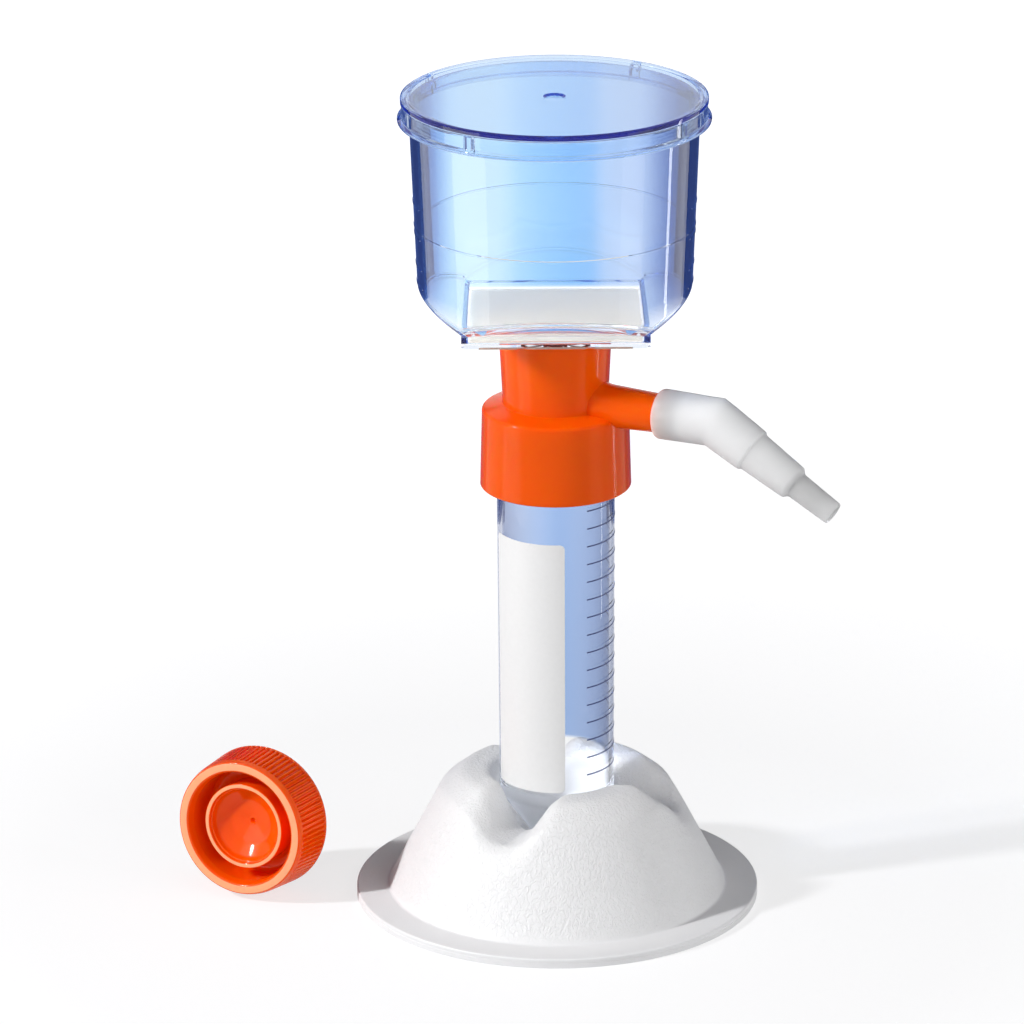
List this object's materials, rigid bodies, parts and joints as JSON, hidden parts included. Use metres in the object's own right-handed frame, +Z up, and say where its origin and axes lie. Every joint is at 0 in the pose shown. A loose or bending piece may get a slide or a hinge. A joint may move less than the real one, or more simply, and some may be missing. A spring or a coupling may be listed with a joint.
{
  "type": "vacuum filtration unit",
  "caption": "Disposable vacuum filter: clear lidded funnel with a square filter bed, orange screw collar with hose elbow, on a conical tube in a round stand, with the tube's cap.",
  "frame": {"origin": "bottom centre of the whole unit's box, on the surface it stands on", "axes": "+Z up along the tube; -Y towards the viewer; +X towards the hose elbow, with the loose cap at -X"},
  "size_m": [0.1624, 0.1002, 0.2062],
  "materials": {
    "stand_plastic": "white moulded polymer with a fine all-over texture",
    "tube_plastic": "clear, slightly blue, polished",
    "orange_plastic": "glossy, slightly translucent orange",
    "gasket_rubber": "soft, matte, off-white",
    "milky_plastic": "milky, translucent, satin",
    "clear_plastic": "clear, blue-tinted, polished",
    "membrane_film": "smooth white microporous film",
    "print_white": "off-white ink field on the tube",
    "print_blue": "navy ink graduation lines"
  },
  "bodies": {
    "base": {"stand": "stand_plastic", "tube": "tube_plastic", "cap": "orange_plastic"},
    "seal_ring": {"collar_gasket": "gasket_rubber"},
    "filter_top": {"collar": "orange_plastic", "support_plate": "clear_plastic", "membrane": "membrane_film", "funnel": "clear_plastic", "lid": "clear_plastic"},
    "hose_elbow": {"hose_connector": "milky_plastic"}
  },
  "joints": [
    {"name": "collar_lift", "type": "slide", "parent": "base", "child": "seal_ring", "axis": [0, 0, 1], "range_m": [0, 0.00601]},
    {"name": "collar_turn", "type": "hinge", "parent": "seal_ring", "child": "filter_top", "pos_m": [0.01306, 0, 0.1075], "axis": [0, 0, 1], "range_deg": [0, 540]},
    {"name": "elbow_turn", "type": "hinge", "parent": "filter_top", "child": "hose_elbow", "pos_m": [0.04322, -0.0157, 0.1298], "axis": [0.887, -0.4617, 0], "continuous": true}
  ],
  "couplings": [
    {"joint": "collar_lift", "follows": "collar_turn", "m_per_rad": 0.00063662}
  ]
}
